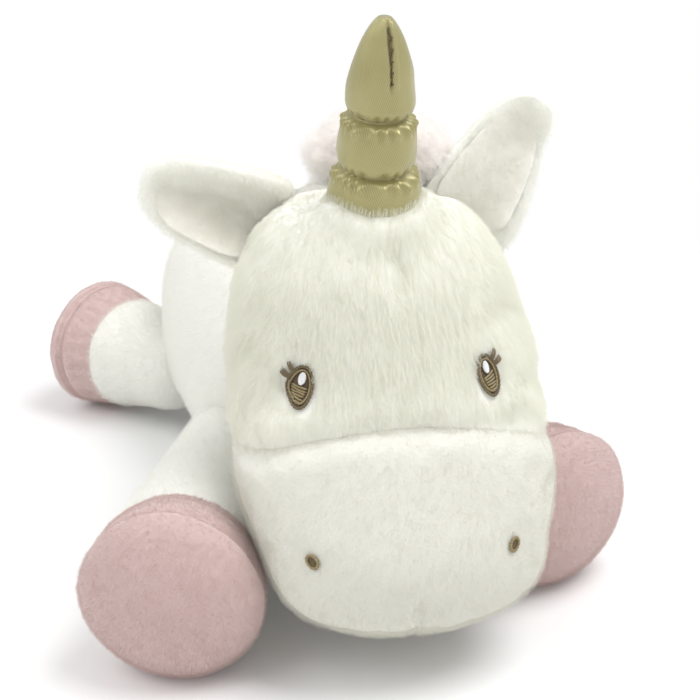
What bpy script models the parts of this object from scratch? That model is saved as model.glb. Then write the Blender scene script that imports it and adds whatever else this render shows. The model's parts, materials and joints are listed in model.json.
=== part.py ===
"""A plush unicorn lying on its belly, head turned a little to its right.

Lengths are millimetres until a mesh is made, which scales them to metres. The torso lies along Y
with its chest towards -Y, and the unicorn's left is +X. The origin is the middle of the flat
belly that it rests on. Each moving piece hangs from an empty that sits on its joint.
"""

from math import cos, pi, radians, sin

import bmesh
import bpy
from mathutils import Matrix, Vector

MM = 0.001
FAR = 300.0

# Sewn fabric
PLUSH = 1.5
SEAM = 0.3
LOOSE = 1.4

# Torso
TORSO_HALF_WIDTH = 51.0
TORSO_HALF_HEIGHT = 61.0
TORSO_AXIS_HEIGHT = 57.0
TORSO_HALF_LENGTH = 76.0
TORSO_PLAN_POWER = 2.8
TORSO_RING_POWER = 2.3
TORSO_END_DROP = 7.0
BELLY_SEAM_HEIGHT = 9.0
PELLET_BAG = Vector((24.0, 34.0, 5.0))

# Neck and head. In the head's own frame Y starts at the neck's joint and Z at the floor, and its
# sections are (height, front, back, half width)
NECK = Vector((0.0, -78.0, 73.0))
HEAD_BASE = Vector((0.0, 0.0, NECK.z))
NECK_RADIUS = 29.0
NECK_PLAY = 1.2
HEAD_TURN = radians(-7.0)
HEAD_SECTIONS = (
    (15.5, -101.0, -70.0, 22.0),
    (19.0, -108.0, -58.0, 34.0),
    (30.0, -112.0, -40.0, 42.0),
    (47.0, -111.0, -26.0, 47.5),
    (64.0, -102.0, -13.0, 52.5),
    (82.0, -91.0, -1.0, 54.5),
    (96.0, -83.0, 5.0, 52.0),
    (112.0, -77.0, 8.0, 48.0),
    (128.0, -70.0, 5.0, 43.0),
    (140.0, -61.0, -3.0, 35.0),
    (149.0, -47.0, -14.0, 18.0),
)
HEAD_MIDDLE_HEIGHT = 84.0
HEAD_WIDEST = 0.38
CROSS_SEAM_HEIGHT = 80.0
BACK_SEAM = -25.0

# Face embroidery: (sideways, height) of each centre and its half width and half height
EYE_PLACE = (30.0, 96.0)
EYE_SIZE = (4.2, 7.8)
EYE_LINE = 1.3
NOSTRIL_PLACE = (31.5, 50.0)
NOSTRIL_SIZE = (2.2, 2.9)
THREAD_RISE = 1.0

# Horn, along its own axis from the middle of its root: (height, radius)
HORN_ROOT = Vector((0.0, -44.0, 144.0))
HORN_LEAN = radians(14.0)
HORN_WAD_TOP = 58.5
HORN_ROOT_RADIUS = 15.6
HORN_PLAY = 1.8
HORN_PROFILE = (
    (4.0, 15.5),
    (11.0, 13.6),
    (13.5, 10.6),
    (16.0, 12.4),
    (25.0, 13.0),
    (29.0, 11.2),
    (31.0, 9.0),
    (33.0, 10.2),
    (40.0, 11.0),
    (51.0, 8.4),
    (60.5, 2.4),
)
GATHER_HEIGHTS = (13.5, 31.0)
GATHER_RADII = (10.6, 9.0)
THREAD_RADIUS = 0.5
SATIN = 0.8

# Ears: root on the head and lean of the ear's length away from straight up
EAR_LENGTH = 42.0
EAR_THICKNESS = 7.0
EAR_ROOTS = {"right": (Vector((-35.5, -14.0, 134.6)), radians(-69.0)),
             "left": (Vector((38.0, -14.0, 133.0)), radians(34.0))}
EAR_WIDTHS = ((0.0, 17.0), (0.2, 17.5), (0.45, 16.0), (0.7, 13.0), (0.88, 9.5), (1.0, 4.0))

# Mane over the crown, falling a little to the left: (sideways, back, height, half width, half thickness)
MANE_STATIONS = (
    (5.0, -26.0, 155.0, 10.0, 6.0),
    (10.0, -19.0, 163.0, 19.0, 12.0),
    (11.0, -6.0, 161.0, 22.0, 14.0),
    (8.0, 5.0, 146.0, 20.0, 13.0),
    (4.0, 12.0, 131.0, 17.0, 10.0),
    (0.0, 11.0, 120.0, 12.0, 6.0),
    (0.0, 9.0, 113.0, 5.0, 3.0),
)

# Legs: root on the torso, direction outward from straight ahead, distance to the hoof's middle,
# and the swing about a vertical joint, from the lowest to the highest turn
LEG_HEIGHT = 30.0
LEG_ROOT_RADIUS = 19.0
LEG_PLAY = 1.5
HOOF_RADIUS = 28.5
HOOF_BAND = 17.0
HOOF_DOME = 20.0
HOOF_TAPER = 4.0
SOLE_SEAM_OFFSET = 1.0
LEG_FLARE_START = 6.0
LEGS = {
    "foreleg_right": (Vector((-41.0, -55.0, LEG_HEIGHT)), radians(-25.0), 99.0, (-30.0, 0.0)),
    "foreleg_left": (Vector((41.0, -55.0, LEG_HEIGHT)), radians(14.0), 81.0, (0.0, 30.0)),
    "hindleg_right": (Vector((-46.0, 41.0, LEG_HEIGHT)), radians(-147.0), 46.0, (-15.0, 25.0)),
    "hindleg_left": (Vector((46.0, 41.0, LEG_HEIGHT)), radians(147.0), 46.0, (-25.0, 15.0)),
}

# Tail: root on the rump and the tuft's profile along its length
TAIL_ROOT = Vector((0.0, 77.0, 60.0))
TAIL_DROOP = radians(40.0)
TAIL_ROOT_RADIUS = 7.0
TAIL_PROFILE = ((4.0, 6.5), (12.0, 9.5), (22.0, 13.5), (32.0, 13.0), (40.0, 8.0), (44.0, 3.0))

AROUND = 20
LEG_AROUND = 14
SPACE_AROUND = 10

MATERIALS = {
    "plush_long_white": ((0.90, 0.90, 0.86), 0.95),
    "plush_short_white": ((0.88, 0.88, 0.84), 0.90),
    "plush_pink": ((0.62, 0.40, 0.39), 0.90),
    "mane_pink": ((0.90, 0.78, 0.76), 0.95),
    "ear_lining": ((0.90, 0.85, 0.78), 0.90),
    "satin_gold": ((0.46, 0.39, 0.17), 0.38),
    "thread_gold": ((0.70, 0.64, 0.38), 0.45),
    "thread_brown": ((0.27, 0.18, 0.08), 0.50),
    "thread_tan": ((0.42, 0.30, 0.14), 0.50),
    "thread_white": ((0.92, 0.92, 0.90), 0.50),
    "stuffing": ((0.85, 0.85, 0.85), 1.00),
    "pellet_cloth": ((0.75, 0.73, 0.68), 0.90),
}


def clear_scene():
    for old in list(bpy.data.objects):
        bpy.data.objects.remove(old, do_unlink=True)


def material(name):
    found = bpy.data.materials.get(name)
    if found:
        return found
    colour, roughness = MATERIALS[name]
    made = bpy.data.materials.new(name)
    made.use_nodes = True
    shader = made.node_tree.nodes["Principled BSDF"]
    shader.inputs["Base Color"].default_value = (*colour, 1.0)
    shader.inputs["Roughness"].default_value = roughness
    shader.inputs["Metallic"].default_value = 0.0
    return made


def pivot(name, place, turn=(0.0, 0.0, 0.0), parent=None):
    """An empty on a joint; its children are modelled in its frame."""
    empty = bpy.data.objects.new(name, None)
    bpy.context.scene.collection.objects.link(empty)
    empty.location = place * MM
    empty.rotation_euler = turn
    empty.parent = parent
    return empty


def add_object(name, rings, slot, parent=None, shift=None, loop=False):
    """A closed body lofted through rings of equal count, with flat end caps unless it loops."""
    bm = bmesh.new()
    offset = shift or Vector()
    rows = [[bm.verts.new((point - offset) * MM) for point in ring] for ring in rings]
    pairs = list(zip(rows, rows[1:]))
    if loop:
        pairs.append((rows[-1], rows[0]))
    for row, following in pairs:
        for step, corner in enumerate(row):
            after = (step + 1) % len(row)
            bm.faces.new((corner, row[after], following[after], following[step]))
    if not loop:
        bm.faces.new(rows[0][::-1])
        bm.faces.new(rows[-1])
    bmesh.ops.recalc_face_normals(bm, faces=bm.faces)
    mesh = bpy.data.meshes.new(name)
    bm.to_mesh(mesh)
    bm.free()
    mesh.shade_smooth()
    made = bpy.data.objects.new(name, mesh)
    bpy.context.scene.collection.objects.link(made)
    made.parent = parent
    if slot:
        mesh.materials.append(material(slot))
    else:
        made.hide_render = True
        made.display_type = "WIRE"
    return made


def cut(target, *cutters, operation="DIFFERENCE"):
    for cutter in cutters:
        change = target.modifiers.new(cutter.name, "BOOLEAN")
        change.operation = operation
        change.solver = "EXACT"
        change.object = cutter


def oval(count, half_x, half_y, power=2.0):
    """Points around a superellipse."""
    points = []
    for step in range(count):
        angle = 2.0 * pi * (step + 0.5) / count
        reach = (abs(cos(angle)) ** power + abs(sin(angle)) ** power) ** (-1.0 / power)
        points.append((half_x * reach * cos(angle), half_y * reach * sin(angle)))
    return points


def box_cutter(name, low, high, parent=None, shift=None):
    low = Vector(low)
    high = Vector(high)
    rings = [
        [Vector((low.x, low.y, z)), Vector((high.x, low.y, z)),
         Vector((high.x, high.y, z)), Vector((low.x, high.y, z))]
        for z in (low.z, high.z)
    ]
    return add_object(name, rings, None, parent, shift)


def ball_rings(radius, centre=Vector(), rows=7, count=LEG_AROUND):
    """Rings of a ball, from its lowest to its highest point."""
    rings = []
    for row in range(rows):
        angle = -pi / 2 + pi * (row + 0.5) / rows
        level = radius * sin(angle)
        flat = radius * cos(angle)
        rings.append([centre + Vector((x, y, level)) for x, y in oval(count, flat, flat)])
    return rings


def turned(profile, count):
    """Rings of a body turned about -Y, from (distance, radius) pairs."""
    return [[Vector((x, -along, z)) for x, z in oval(count, radius, radius)] for along, radius in profile]


def root_profile(radius, rows=3):
    """The rounded end of a limb whose ball is centred on its joint."""
    angles = [-pi / 2 + (pi / 2) * (row + 0.6) / (rows + 0.6) for row in range(rows)]
    return [(radius * sin(angle), radius * cos(angle)) for angle in angles]


# Torso


def torso_rings(inset):
    """The torso's barrel along Y, flat where it lies on the floor."""
    rings = []
    rows = 11
    for row in range(rows):
        along = sin(-pi / 2 + pi * (row + 0.5) / rows)
        size = (1.0 - abs(along) ** TORSO_PLAN_POWER) ** (1.0 / TORSO_PLAN_POWER)
        height = TORSO_AXIS_HEIGHT - TORSO_END_DROP * abs(along) ** 3
        half_width = (TORSO_HALF_WIDTH - inset) * size
        half_height = (TORSO_HALF_HEIGHT - inset) * size
        y = (TORSO_HALF_LENGTH - inset) * along
        rings.append([
            Vector((x, y, max(height + z, inset)))
            for x, z in oval(AROUND, half_width, half_height, TORSO_RING_POWER)
        ])
    return rings


def leg_space(name):
    """The room that a leg needs in the torso's side as it swings."""
    place, splay, hoof, (lowest, highest) = LEGS[name]
    rings = turned(root_profile(LEG_ROOT_RADIUS + LEG_PLAY) + hoof_profile(hoof, -LEG_PLAY), SPACE_AROUND)
    space = add_object("cut_" + name, rings, None)
    bm = bmesh.new()
    for degrees in (lowest, 0.0, highest):
        turn = Matrix.Rotation(splay + radians(degrees), 3, "Z")
        for vertex in space.data.vertices:
            bm.verts.new(place * MM + turn @ vertex.co)
    hull = bmesh.ops.convex_hull(bm, input=bm.verts)
    bmesh.ops.delete(bm, geom=list(set(hull["geom_interior"] + hull["geom_unused"])), context="VERTS")
    bmesh.ops.recalc_face_normals(bm, faces=bm.faces)
    bm.to_mesh(space.data)
    bm.free()
    return space


def limb_sockets():
    """Hollows in the torso that the limbs' roots turn in."""
    found = [leg_space(name) for name in LEGS]
    found.append(add_object("cut_neck", ball_rings(NECK_RADIUS + SEAM, NECK), None))
    found.append(add_object("cut_tail", ball_rings(TAIL_ROOT_RADIUS + LEG_PLAY, TAIL_ROOT), None))
    return found


def pellet_bag_rings(grow):
    """A flat cushion of pellets just above the belly panel."""
    half_x, half_y, half_z = PELLET_BAG
    floor = PLUSH + LOOSE - grow
    rings = []
    for level, size in ((0.0, 0.8), (0.5, 1.0), (1.4, 0.95), (2.0, 0.6)):
        height = floor + half_z * level + (grow if level else 0.0)
        rings.append([
            Vector((x, y, height))
            for x, y in oval(AROUND, half_x * size + grow, half_y * size + grow, 2.4)
        ])
    return rings


def make_torso():
    inside = add_object("cut_torso_inside", torso_rings(PLUSH), None)
    above_belly = box_cutter("cut_above_belly", (-FAR, -FAR, BELLY_SEAM_HEIGHT), (FAR, FAR, FAR))
    below_sides = box_cutter("cut_below_sides", (-FAR, -FAR, -FAR), (FAR, FAR, BELLY_SEAM_HEIGHT + SEAM))
    right_half = box_cutter("cut_right_half", (-FAR, -FAR, -FAR), (SEAM / 2, FAR, FAR))
    left_half = box_cutter("cut_left_half", (-SEAM / 2, -FAR, -FAR), (FAR, FAR, FAR))
    sockets = limb_sockets()
    for name, half in (("torso_cover_left", right_half), ("torso_cover_right", left_half)):
        cover = add_object(name, torso_rings(0.0), "plush_short_white")
        cut(cover, inside, half, below_sides, *sockets)
    belly = add_object("belly_panel", torso_rings(0.0), "plush_short_white")
    cut(belly, inside, above_belly, *sockets)
    bag_space = add_object("cut_pellet_bag", pellet_bag_rings(LOOSE), None)
    stuffing = add_object("torso_stuffing", torso_rings(PLUSH + LOOSE), "stuffing")
    cut(stuffing, bag_space, *sockets)
    add_object("pellet_bag", pellet_bag_rings(0.0), "pellet_cloth")


def make_neck():
    """A short stuffed neck that the head's hollow back sits on."""
    hollow = add_object("cut_neck_inside", ball_rings(NECK_RADIUS - PLUSH, NECK), None)
    opening = box_cutter("cut_neck_opening", NECK + Vector((-9, 12, -9)), NECK + Vector((9, 40, 9)))
    cover = add_object("neck_cover", ball_rings(NECK_RADIUS, NECK), "plush_short_white")
    cut(cover, hollow, opening)
    add_object("neck_stuffing", ball_rings(NECK_RADIUS - PLUSH - LOOSE, NECK), "stuffing")


# Head


def head_section(height):
    """Front, back and half width of the head at a height, in the head's own frame."""
    for low, high in zip(HEAD_SECTIONS, HEAD_SECTIONS[1:]):
        if height <= high[0]:
            share = (height - low[0]) / (high[0] - low[0])
            return [a + (b - a) * share for a, b in zip(low[1:], high[1:])]
    return list(HEAD_SECTIONS[-1][1:])


def widest_place(front, back):
    """Where the head is widest, nearer its front than its back."""
    return front + HEAD_WIDEST * (back - front)


def egg(count, half_width, front, back):
    """Points around the head's outline in plan."""
    widest = widest_place(front, back)
    points = []
    for x, share in oval(count, half_width, 1.0):
        depth = widest - front if share < 0.0 else back - widest
        points.append((x, widest + depth * share))
    return points


def head_rings(inset):
    shrink = 1.0 - inset / (HEAD_SECTIONS[-1][0] - HEAD_MIDDLE_HEIGHT)
    rings = []
    for height, front, back, half_width in HEAD_SECTIONS:
        level = HEAD_MIDDLE_HEIGHT + (height - HEAD_MIDDLE_HEIGHT) * shrink
        rings.append([
            Vector((x, y, level)) for x, y in egg(AROUND, half_width - inset, front + inset, back - inset)
        ])
    return rings


def face_point(x, height, proud):
    """A point in front of the face's skin."""
    front, back, half_width = head_section(height)
    widest = widest_place(front, back)
    across = min(abs(x) / half_width, 0.98)
    return Vector((x, widest - (widest - front) * (1.0 - across ** 2) ** 0.5 - proud, height))


def make_head(head_pivot):
    def in_head(name, rings, slot=None):
        return add_object(name, rings, slot, head_pivot, HEAD_BASE)

    def slab(name, low, high):
        return box_cutter(name, low, high, head_pivot, HEAD_BASE)

    inside = in_head("cut_head_inside", head_rings(PLUSH))
    socket = in_head("cut_head_socket", ball_rings(NECK_RADIUS + NECK_PLAY, HEAD_BASE))
    horn_hole = in_head("cut_horn", ball_rings(HORN_ROOT_RADIUS + HORN_PLAY, HORN_ROOT))
    behind = slab("cut_behind_face", (-FAR, BACK_SEAM, -FAR), (FAR, FAR, FAR))
    ahead = slab("cut_ahead_of_back", (-FAR, -FAR, -FAR), (FAR, BACK_SEAM + SEAM, FAR))
    above = slab("cut_above_muzzle", (-FAR, -FAR, CROSS_SEAM_HEIGHT), (FAR, FAR, FAR))
    below = slab("cut_below_face", (-FAR, -FAR, -FAR), (FAR, FAR, CROSS_SEAM_HEIGHT + SEAM))
    right = slab("cut_right_muzzle", (-FAR, -FAR, -FAR), (SEAM / 2, FAR, FAR))
    left = slab("cut_left_muzzle", (-SEAM / 2, -FAR, -FAR), (FAR, FAR, FAR))
    panels = {
        "face_panel": ("plush_long_white", (behind, below)),
        "head_back_panel": ("plush_short_white", (ahead,)),
        "muzzle_cover_left": ("plush_short_white", (behind, above, right)),
        "muzzle_cover_right": ("plush_short_white", (behind, above, left)),
    }
    for name, (slot, seams) in panels.items():
        cut(in_head(name, head_rings(0.0), slot), inside, socket, horn_hole, *seams)
    wad_space = in_head("cut_head_wad", ball_rings(NECK_RADIUS + NECK_PLAY + LOOSE, HEAD_BASE))
    cut(in_head("head_stuffing", head_rings(PLUSH + LOOSE), "stuffing"), wad_space, horn_hole)


def lash_reach(step):
    """How far the outline reaches out; two lashes point up and out."""
    return 1.5 if step in (1, 3) else 1.0


def patch_ring(side, place, size, reach, proud, lashes=False, count=20):
    """A closed line of stitches on the face."""
    ring = []
    for step in range(count):
        angle = 2.0 * pi * step / count
        far = reach * (lash_reach(step) if lashes else 1.0)
        x = side * (place[0] + size[0] * far * cos(angle))
        ring.append(face_point(x, place[1] + size[1] * far * sin(angle), proud))
    return ring


def make_stitched_patch(name, slot, head_pivot, side, place, size, low=SEAM, high=THREAD_RISE):
    rings = [patch_ring(side, place, size, 1.0, proud) for proud in (low, high)]
    add_object(name, rings, slot, head_pivot, HEAD_BASE)


def make_eye(side_name, side, head_pivot):
    inner = (EYE_SIZE[0] - EYE_LINE) / EYE_SIZE[0]
    rings = [
        patch_ring(side, EYE_PLACE, EYE_SIZE, 1.0, SEAM, lashes=True),
        patch_ring(side, EYE_PLACE, EYE_SIZE, 1.0, THREAD_RISE, lashes=True),
        patch_ring(side, EYE_PLACE, EYE_SIZE, inner, THREAD_RISE),
        patch_ring(side, EYE_PLACE, EYE_SIZE, inner, SEAM),
    ]
    add_object("eye_outline_" + side_name, rings, "thread_brown", head_pivot, HEAD_BASE, loop=True)
    iris = [half * inner * 0.85 for half in EYE_SIZE]
    make_stitched_patch("eye_iris_" + side_name, "thread_tan", head_pivot, side, EYE_PLACE, iris)
    glint_place = (EYE_PLACE[0] - 0.6, EYE_PLACE[1] + 2.6)
    make_stitched_patch("eye_highlight_" + side_name, "thread_white", head_pivot, side, glint_place,
                        (1.1, 1.5), THREAD_RISE + SEAM, THREAD_RISE + 2 * SEAM)


def make_face(head_pivot):
    for side_name, side in (("left", 1.0), ("right", -1.0)):
        make_eye(side_name, side, head_pivot)
        make_stitched_patch("nostril_" + side_name, "thread_tan", head_pivot, side,
                            NOSTRIL_PLACE, NOSTRIL_SIZE)


def make_mane(head_pivot):
    rings = []
    last = len(MANE_STATIONS) - 1
    for index, (x, y, z, half_width, half_thickness) in enumerate(MANE_STATIONS):
        before = Vector(MANE_STATIONS[max(index - 1, 0)][1:3])
        after = Vector(MANE_STATIONS[min(index + 1, last)][1:3])
        run = (after - before).normalized()
        across = Vector((0.0, -run.y, run.x))
        middle = Vector((x, y, z))
        rings.append([
            middle + Vector((side, 0.0, 0.0)) + across * up
            for side, up in oval(LEG_AROUND, half_width, half_thickness)
        ])
    mane = add_object("mane", rings, "mane_pink", head_pivot, HEAD_BASE)
    clear = add_object("cut_mane", head_rings(-2 * SEAM), None, head_pivot, HEAD_BASE)
    horn_space = add_object("cut_mane_horn", ball_rings(HORN_ROOT_RADIUS + 2 * HORN_PLAY, HORN_ROOT),
                            None, head_pivot, HEAD_BASE)
    cut(mane, clear, horn_space)


# Horn, ears


def horn_rings(inset):
    profile = root_profile(HORN_ROOT_RADIUS - inset)
    profile += [(height, max(radius - inset, 1.0)) for height, radius in HORN_PROFILE]
    return [[Vector((x, y, height)) for x, y in oval(LEG_AROUND, radius, radius)]
            for height, radius in profile]


def make_horn(head_pivot):
    """Satin horn pulled in at two rings by gathering threads; its root sits in the face panel."""
    horn_pivot = pivot("horn_pivot", HORN_ROOT - HEAD_BASE, (HORN_LEAN, 0.0, 0.0), head_pivot)
    cover = add_object("horn_cover", horn_rings(0.0), "satin_gold", horn_pivot)
    hollow = add_object("cut_horn_inside", horn_rings(SATIN), None, horn_pivot)
    mouth = box_cutter("cut_horn_mouth", (-7, -7, -20), (7, 7, -8), horn_pivot)
    cut(cover, hollow, mouth)
    stuffing = add_object("horn_stuffing", horn_rings(SATIN + LOOSE), "stuffing", horn_pivot)
    tip = box_cutter("cut_horn_stuffing_tip", (-20, -20, HORN_WAD_TOP), (20, 20, 80), horn_pivot)
    cut(stuffing, tip)
    for name, height, radius in zip(("lower", "upper"), GATHER_HEIGHTS, GATHER_RADII):
        centre_radius = radius + SEAM + THREAD_RADIUS
        rings = []
        for step in range(LEG_AROUND):
            angle = 2.0 * pi * (step + 0.5) / LEG_AROUND
            out = Vector((cos(angle), sin(angle), 0.0))
            rings.append([
                out * (centre_radius + x) + Vector((0.0, 0.0, height + z))
                for x, z in oval(6, THREAD_RADIUS, THREAD_RADIUS)
            ])
        add_object("horn_thread_" + name, rings, "thread_gold", horn_pivot, loop=True)


def ear_half(front):
    """One of the ear's two fabric layers, along +Z; the lining faces -Y."""
    rings = []
    for share, half_width in EAR_WIDTHS:
        height = EAR_LENGTH * share
        depth = EAR_THICKNESS / 2 * (1.0 - 0.35 * share)
        edge = [half_width * (step / 4 - 1.0) for step in range(9)]
        face = [Vector((x, SEAM / 2 + depth * (1.02 - (x / half_width) ** 2), height)) for x in edge]
        flat = [Vector((x, SEAM / 2, height)) for x in reversed(edge)]
        ring = face + flat
        if front:
            ring = [Vector((point.x, -point.y, point.z)) for point in ring]
        rings.append(ring)
    return rings


def make_ears(head_pivot):
    for side, (root, lean) in EAR_ROOTS.items():
        ear_pivot = pivot("ear_pivot_" + side, root - HEAD_BASE, (0.0, lean, 0.0), head_pivot)
        add_object("ear_outer_" + side, ear_half(False), "plush_short_white", ear_pivot)
        add_object("ear_lining_" + side, ear_half(True), "ear_lining", ear_pivot)


# Legs, tail


def sole_seam(hoof):
    """Distance of the sole's seam, which lies a little beyond the hoof's middle."""
    return hoof + SOLE_SEAM_OFFSET


def band_start(hoof):
    return sole_seam(hoof) - HOOF_BAND


def leg_radius(along, hoof):
    """Radius of the white leg at a distance from its joint; it widens towards the hoof's band."""
    share = max(0.0, along - LEG_FLARE_START) / (band_start(hoof) - LEG_FLARE_START)
    return LEG_ROOT_RADIUS + (HOOF_RADIUS - HOOF_TAPER - LEG_ROOT_RADIUS) * share


def leg_profile(hoof, inset):
    profile = root_profile(LEG_ROOT_RADIUS - inset)
    for share in (0.0, 0.5, 1.0):
        along = LEG_FLARE_START + (band_start(hoof) - LEG_FLARE_START - SEAM / 2) * share
        profile.append((along, leg_radius(along, hoof) - inset))
    return profile


def hoof_profile(hoof, inset):
    """The pink hoof from its band's seam to the crown of its sole."""
    start = band_start(hoof)
    seam = sole_seam(hoof)
    profile = [
        (start, HOOF_RADIUS - HOOF_TAPER - inset),
        (start + 0.35 * HOOF_BAND, HOOF_RADIUS - 0.35 * HOOF_TAPER - inset),
        (seam, HOOF_RADIUS - inset),
    ]
    for share in (0.98, 0.88, 0.65, 0.35):
        rise = (HOOF_DOME - inset) * (1.0 - share ** 2.4)
        profile.append((seam + rise, (HOOF_RADIUS - inset) * share))
    return profile


def make_leg(name, place, splay, hoof):
    leg_pivot = pivot(name + "_pivot", place, (0.0, 0.0, splay))
    start = band_start(hoof)
    seam = sole_seam(hoof)

    def beyond(part, along):
        return box_cutter("cut_" + name + part, (-FAR, -FAR, -FAR), (FAR, -along, FAR), leg_pivot)

    def before(part, along):
        return box_cutter("cut_" + name + part, (-FAR, -along, -FAR), (FAR, FAR, FAR), leg_pivot)

    inside = leg_profile(hoof, PLUSH) + hoof_profile(hoof, PLUSH)[1:]
    outside = leg_profile(hoof, 0.0) + hoof_profile(hoof, 0.0)[1:]
    wad = leg_profile(hoof, PLUSH + LOOSE) + hoof_profile(hoof, PLUSH + LOOSE)[1:]
    hollow = add_object("cut_" + name + "_inside", turned(inside, LEG_AROUND), None, leg_pivot)
    pieces = {
        "_cover": ("plush_short_white", (beyond("_a", start),)),
        "_hoof_band": ("plush_pink", (before("_b", start + SEAM), beyond("_c", seam))),
        "_hoof_sole": ("plush_pink", (before("_d", seam + SEAM),)),
    }
    for part, (slot, seams) in pieces.items():
        piece = add_object(name + part, turned(outside, LEG_AROUND), slot, leg_pivot)
        cut(piece, hollow, *seams)
    add_object(name + "_stuffing", turned(wad, LEG_AROUND), "stuffing", leg_pivot)


def make_tail():
    tail_pivot = pivot("tail_pivot", TAIL_ROOT, (TAIL_DROOP, 0.0, pi))
    profile = root_profile(TAIL_ROOT_RADIUS) + list(TAIL_PROFILE)
    add_object("tail", turned(profile, LEG_AROUND), "mane_pink", tail_pivot)


def main():
    clear_scene()
    make_torso()
    make_neck()
    head_pivot = pivot("head_pivot", NECK, (0.0, 0.0, HEAD_TURN))
    make_head(head_pivot)
    make_face(head_pivot)
    make_mane(head_pivot)
    make_horn(head_pivot)
    make_ears(head_pivot)
    for name, (place, splay, hoof, _) in LEGS.items():
        make_leg(name, place, splay, hoof)
    make_tail()


main()
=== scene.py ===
"""The looks of the lying plush unicorn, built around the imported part.

Lengths are millimetres until a mesh is made, which scales them to metres. Each shape is worked out
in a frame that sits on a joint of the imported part, and takes its size from the CAD nodes that it
stands for. The unicorn's left is +X and it looks towards -Y.
"""

import json
from math import cos, pi, radians, sin

import bmesh
import bpy
import numpy as np
from mathutils import Matrix, Vector, noise
from mathutils.bvhtree import BVHTree


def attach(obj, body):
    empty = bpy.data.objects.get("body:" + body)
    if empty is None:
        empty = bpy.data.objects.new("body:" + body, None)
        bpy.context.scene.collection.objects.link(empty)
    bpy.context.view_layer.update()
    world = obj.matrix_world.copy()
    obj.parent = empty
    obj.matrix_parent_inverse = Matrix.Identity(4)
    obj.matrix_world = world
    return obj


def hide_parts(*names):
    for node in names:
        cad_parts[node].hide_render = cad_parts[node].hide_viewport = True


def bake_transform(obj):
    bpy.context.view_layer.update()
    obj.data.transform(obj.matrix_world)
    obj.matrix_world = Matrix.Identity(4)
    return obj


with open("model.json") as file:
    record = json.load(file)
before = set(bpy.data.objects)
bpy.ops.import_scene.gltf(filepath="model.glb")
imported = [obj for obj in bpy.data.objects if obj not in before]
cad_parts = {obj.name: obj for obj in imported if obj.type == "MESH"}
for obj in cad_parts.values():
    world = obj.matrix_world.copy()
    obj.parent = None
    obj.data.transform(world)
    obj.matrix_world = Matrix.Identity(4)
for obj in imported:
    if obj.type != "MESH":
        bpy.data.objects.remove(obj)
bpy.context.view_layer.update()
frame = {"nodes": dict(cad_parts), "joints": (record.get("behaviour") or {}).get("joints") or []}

MM = 0.001
UP = Vector((0.0, 0.0, 1.0))

# Fabric
SKIN = 1.2
CLOTH_GROWTH = 0.03               # how much longer the stuffed cloth gets than its pattern
DENT = 0.3                        # how far it may sink between seams, as a share of its swell
FULL_SHARE = 60.0                 # how much of the cloth, in percent, stays short of its full swell
FACET = 1.01                      # a facetted CAD body's box is this much narrower than its curve
SEAM_DEPTH = 2.2
SEAM_WIDTH = 2.6
PIN_WIDTH = 2.5
TWILL = 0.65
TWILL_SLANT = radians(62.0)

# Head: (height, front, back, half width) as shares of the CAD head's box
HEAD_ROWS = (
    (-0.005, 0.23, 0.23, 0.0),
    (0.010, 0.085, 0.39, 0.42),
    (0.100, 0.003, 0.58, 0.78),
    (0.236, 0.004, 0.717, 0.895),
    (0.363, 0.073, 0.825, 0.97),
    (0.498, 0.170, 0.925, 0.985),
    (0.603, 0.238, 0.975, 0.96),
    (0.723, 0.290, 1.0, 0.885),
    (0.843, 0.345, 0.975, 0.79),
    (0.945, 0.435, 0.90, 0.60),
    (0.992, 0.540, 0.80, 0.33),
    (1.008, 0.665, 0.665, 0.0),
)
HEAD_POWER = 2.1
HEAD_WIDEST = 0.38
CHEEK_SHIFT = 2.5                 # how far cheeks and muzzle sit to the unicorn's left of the crown
FACE_INSET = 1.2
MUZZLE_INSET = 0.0
HEAD_SEAM_DEPTH = 0.5
HORN_COLLAR = 3.0
CROSS_SEAM_RISE = 4.0
CROSS_SEAM_DROP = 13.0
BACK_SEAM = -25.0
HEAD_PANELS = ("face_panel", "head_back_panel", "muzzle_cover_left", "muzzle_cover_right")

# Face embroidery in the head's frame: (sideways, height) of a centre, half width and half height
EYE_PLACE = (29.5, 95.6)
EYE_SIZE = (3.55, 6.7)
EYE_LEAN = radians(18.0)
LASH_PLACE = (32.8, 99.2)
LASH_SIZE = (1.2, 1.2)
NOSTRIL_PLACE = (31.2, 49.9)
NOSTRIL_SIZE = (1.6, 2.1)
NOSTRIL_LEAN = radians(-22.0)

# Torso: powers of the superellipses in its plan and in its rings, and the sag of its two ends
TORSO_PLAN_POWER = 2.8
TORSO_RING_POWER = 2.3
TORSO_END_SAG = 7.0
BELLY_SEAM_HEIGHT = 9.0

# How much wider and higher a hoof is than the CAD one before the floor flattens it
HOOF_SPREAD = 0.05
HOOF_SAG = 0.05

# Camera, placed round a point near the head
CAMERA_AZIMUTH = -18.8
CAMERA_ELEVATION = 21.56
CAMERA_DISTANCE = 416.7
CAMERA_LENS = 61.0
CAMERA_LOOK = Vector((-7.6, -26.4, 14.6))
SKY_LIGHT = 0.66
WHITE_FLOOR_FROM = 170.0
WHITE_FLOOR_TO = 420.0


# Frames and tables


def joint(name):
    """Place and axis of a joint."""
    found = next(j for j in frame["joints"] if j["name"] == name)
    return Vector(found["pos_m"]) / MM, Vector(found["axis"])


def axes(origin, x, z):
    """A frame at a point, with its X along x and its Z as near to z as that allows."""
    x = x.normalized()
    y = z.cross(x).normalized()
    made = Matrix((x, y, x.cross(y))).transposed().to_4x4()
    made.translation = origin
    return made


def moved(points, place):
    return np.asarray(points, float) @ np.array(place.to_3x3()).T + np.array(place.translation)


def corners(place, *nodes):
    """Lowest and highest corner of CAD nodes, in a frame."""
    found = [np.array([v.co for v in frame["nodes"][name].data.vertices], float) for name in nodes]
    points = moved(np.vstack(found) / MM, place.inverted())
    return points.min(0), points.max(0)


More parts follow.
